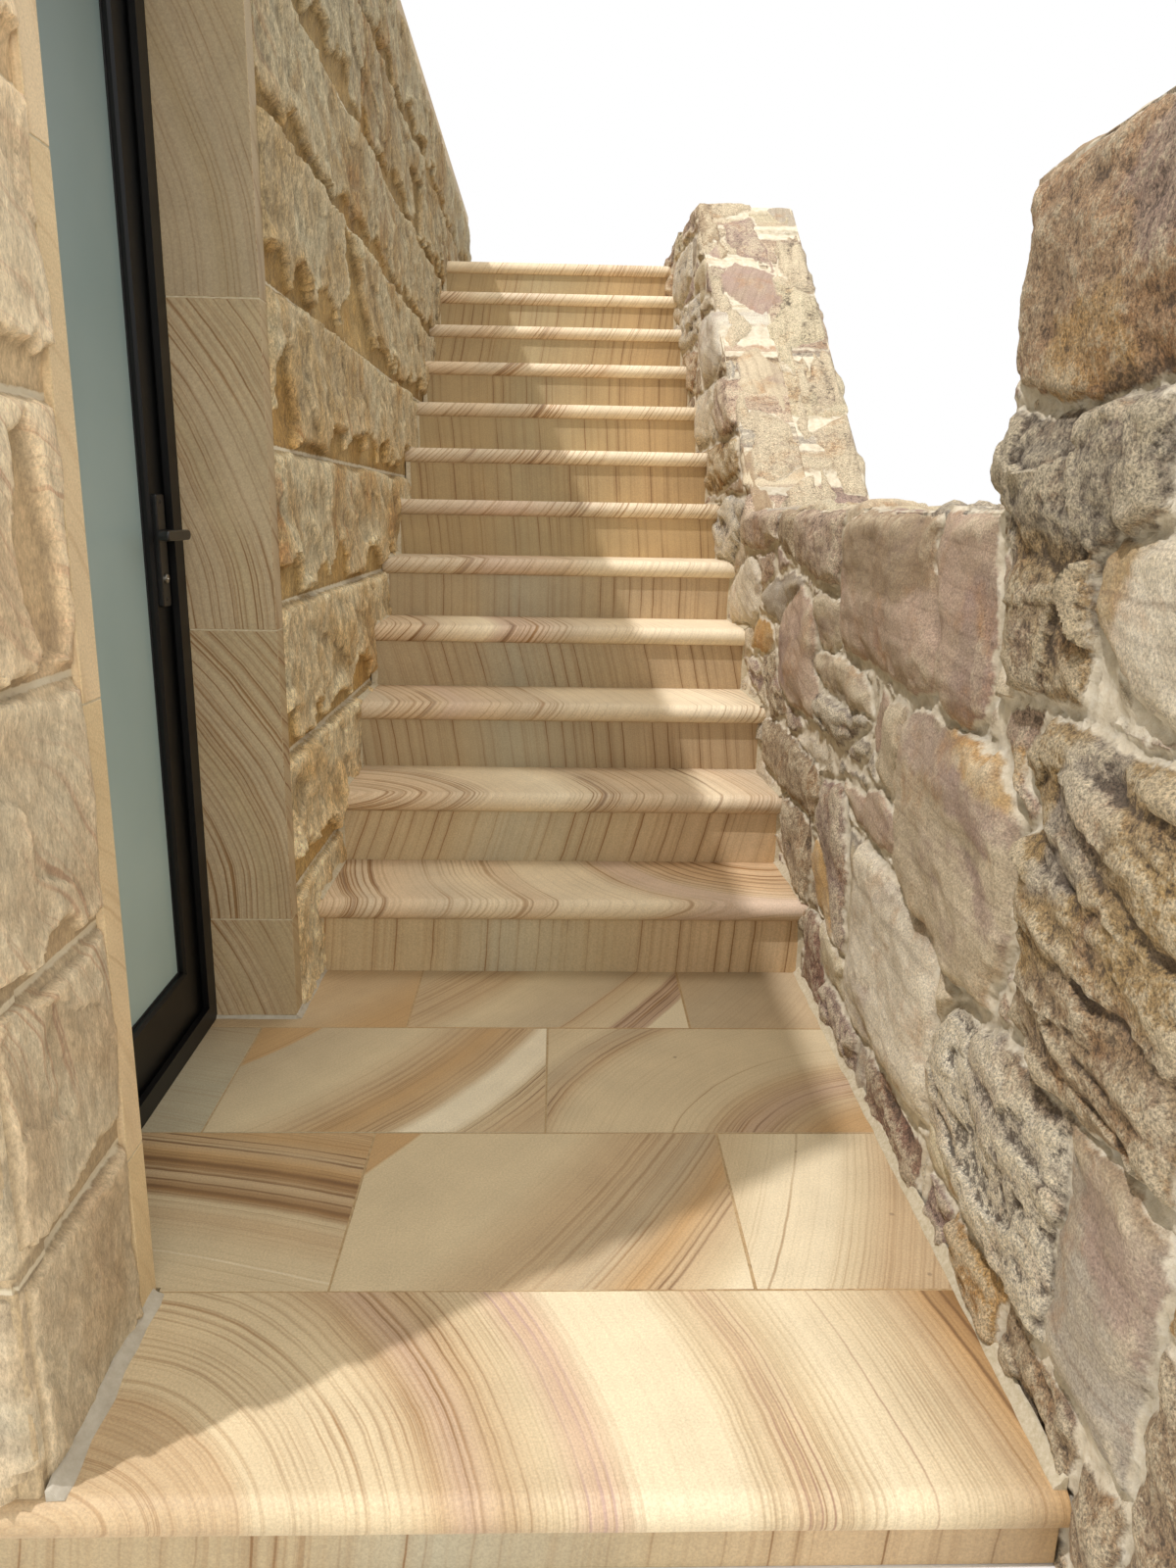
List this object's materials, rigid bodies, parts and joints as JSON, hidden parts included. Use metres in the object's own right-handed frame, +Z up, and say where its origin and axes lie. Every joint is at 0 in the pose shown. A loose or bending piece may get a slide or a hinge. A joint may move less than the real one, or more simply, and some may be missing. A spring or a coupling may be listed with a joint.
{
  "type": "outdoor stone staircase with side walls and a glazed door",
  "caption": "Stone steps rising from a flagged landing between a rock-faced wall with a glazed door and a rubble wall.",
  "frame": {"origin": "on the ground plane, in the middle of the clear width, below the nosing of the first tread above the landing", "axes": "+Y up the flight, +X to the right for a person who climbs, +Z up"},
  "size_m": [1.785, 6.433, 2.845],
  "materials": {
    "honed_sandstone": "honed",
    "sawn_sandstone": "sawn",
    "rock_faced_sandstone": "rock-faced",
    "rubble_sandstone": "rough rubble",
    "masonry_bed": "mortared rubble",
    "coated_aluminium": "satin powder coat",
    "frosted_glass": "frosted",
    "coated_hardware": "satin powder coat"
  },
  "bodies": {
    "structure": {"tread_01": "honed_sandstone", "tread_02": "honed_sandstone", "tread_03": "honed_sandstone", "tread_04": "honed_sandstone", "tread_05": "honed_sandstone", "tread_06": "honed_sandstone", "tread_07": "honed_sandstone", "tread_08": "honed_sandstone", "tread_09": "honed_sandstone", "tread_10": "honed_sandstone", "tread_11": "honed_sandstone", "tread_12": "honed_sandstone", "landing_front_slab": "honed_sandstone", "flags_row_1": "honed_sandstone", "flags_row_2": "honed_sandstone", "flags_row_3": "honed_sandstone", "risers": "sawn_sandstone", "landing_front_riser": "sawn_sandstone", "wall_cap": "sawn_sandstone", "near_lining": "sawn_sandstone", "far_lining": "sawn_sandstone", "head_lining": "sawn_sandstone", "door_threshold": "sawn_sandstone", "rubble_end_block": "sawn_sandstone", "near_wall": "rock_faced_sandstone", "far_wall": "rock_faced_sandstone", "wall_over_door": "rock_faced_sandstone", "rubble_pier": "rubble_sandstone", "rubble_low_wall": "rubble_sandstone", "rubble_raking_wall": "rubble_sandstone", "stair_core": "masonry_bed", "landing_base": "masonry_bed", "door_frame": "coated_aluminium", "hinges_frame_half": "coated_hardware"},
    "door": {"door_leaf": "coated_aluminium", "door_glass": "frosted_glass", "lock_plate_outside": "coated_hardware", "lock_plate_inside": "coated_hardware", "hinges_leaf_half": "coated_hardware"},
    "lever": {"door_lever": "coated_hardware"}
  },
  "joints": [
    {"name": "door_hinge", "type": "hinge", "parent": "structure", "child": "door", "pos_m": [-0.809, -1.0305, 1.1], "axis": [0, 0, 1], "range_deg": [0, 95]},
    {"name": "lever_turn", "type": "hinge", "parent": "door", "child": "lever", "pos_m": [-0.757, -0.3055, 1.119], "axis": [1, 0, 0], "range_deg": [0, 40], "stiffness_Nm_per_rad": 1.5}
  ]
}
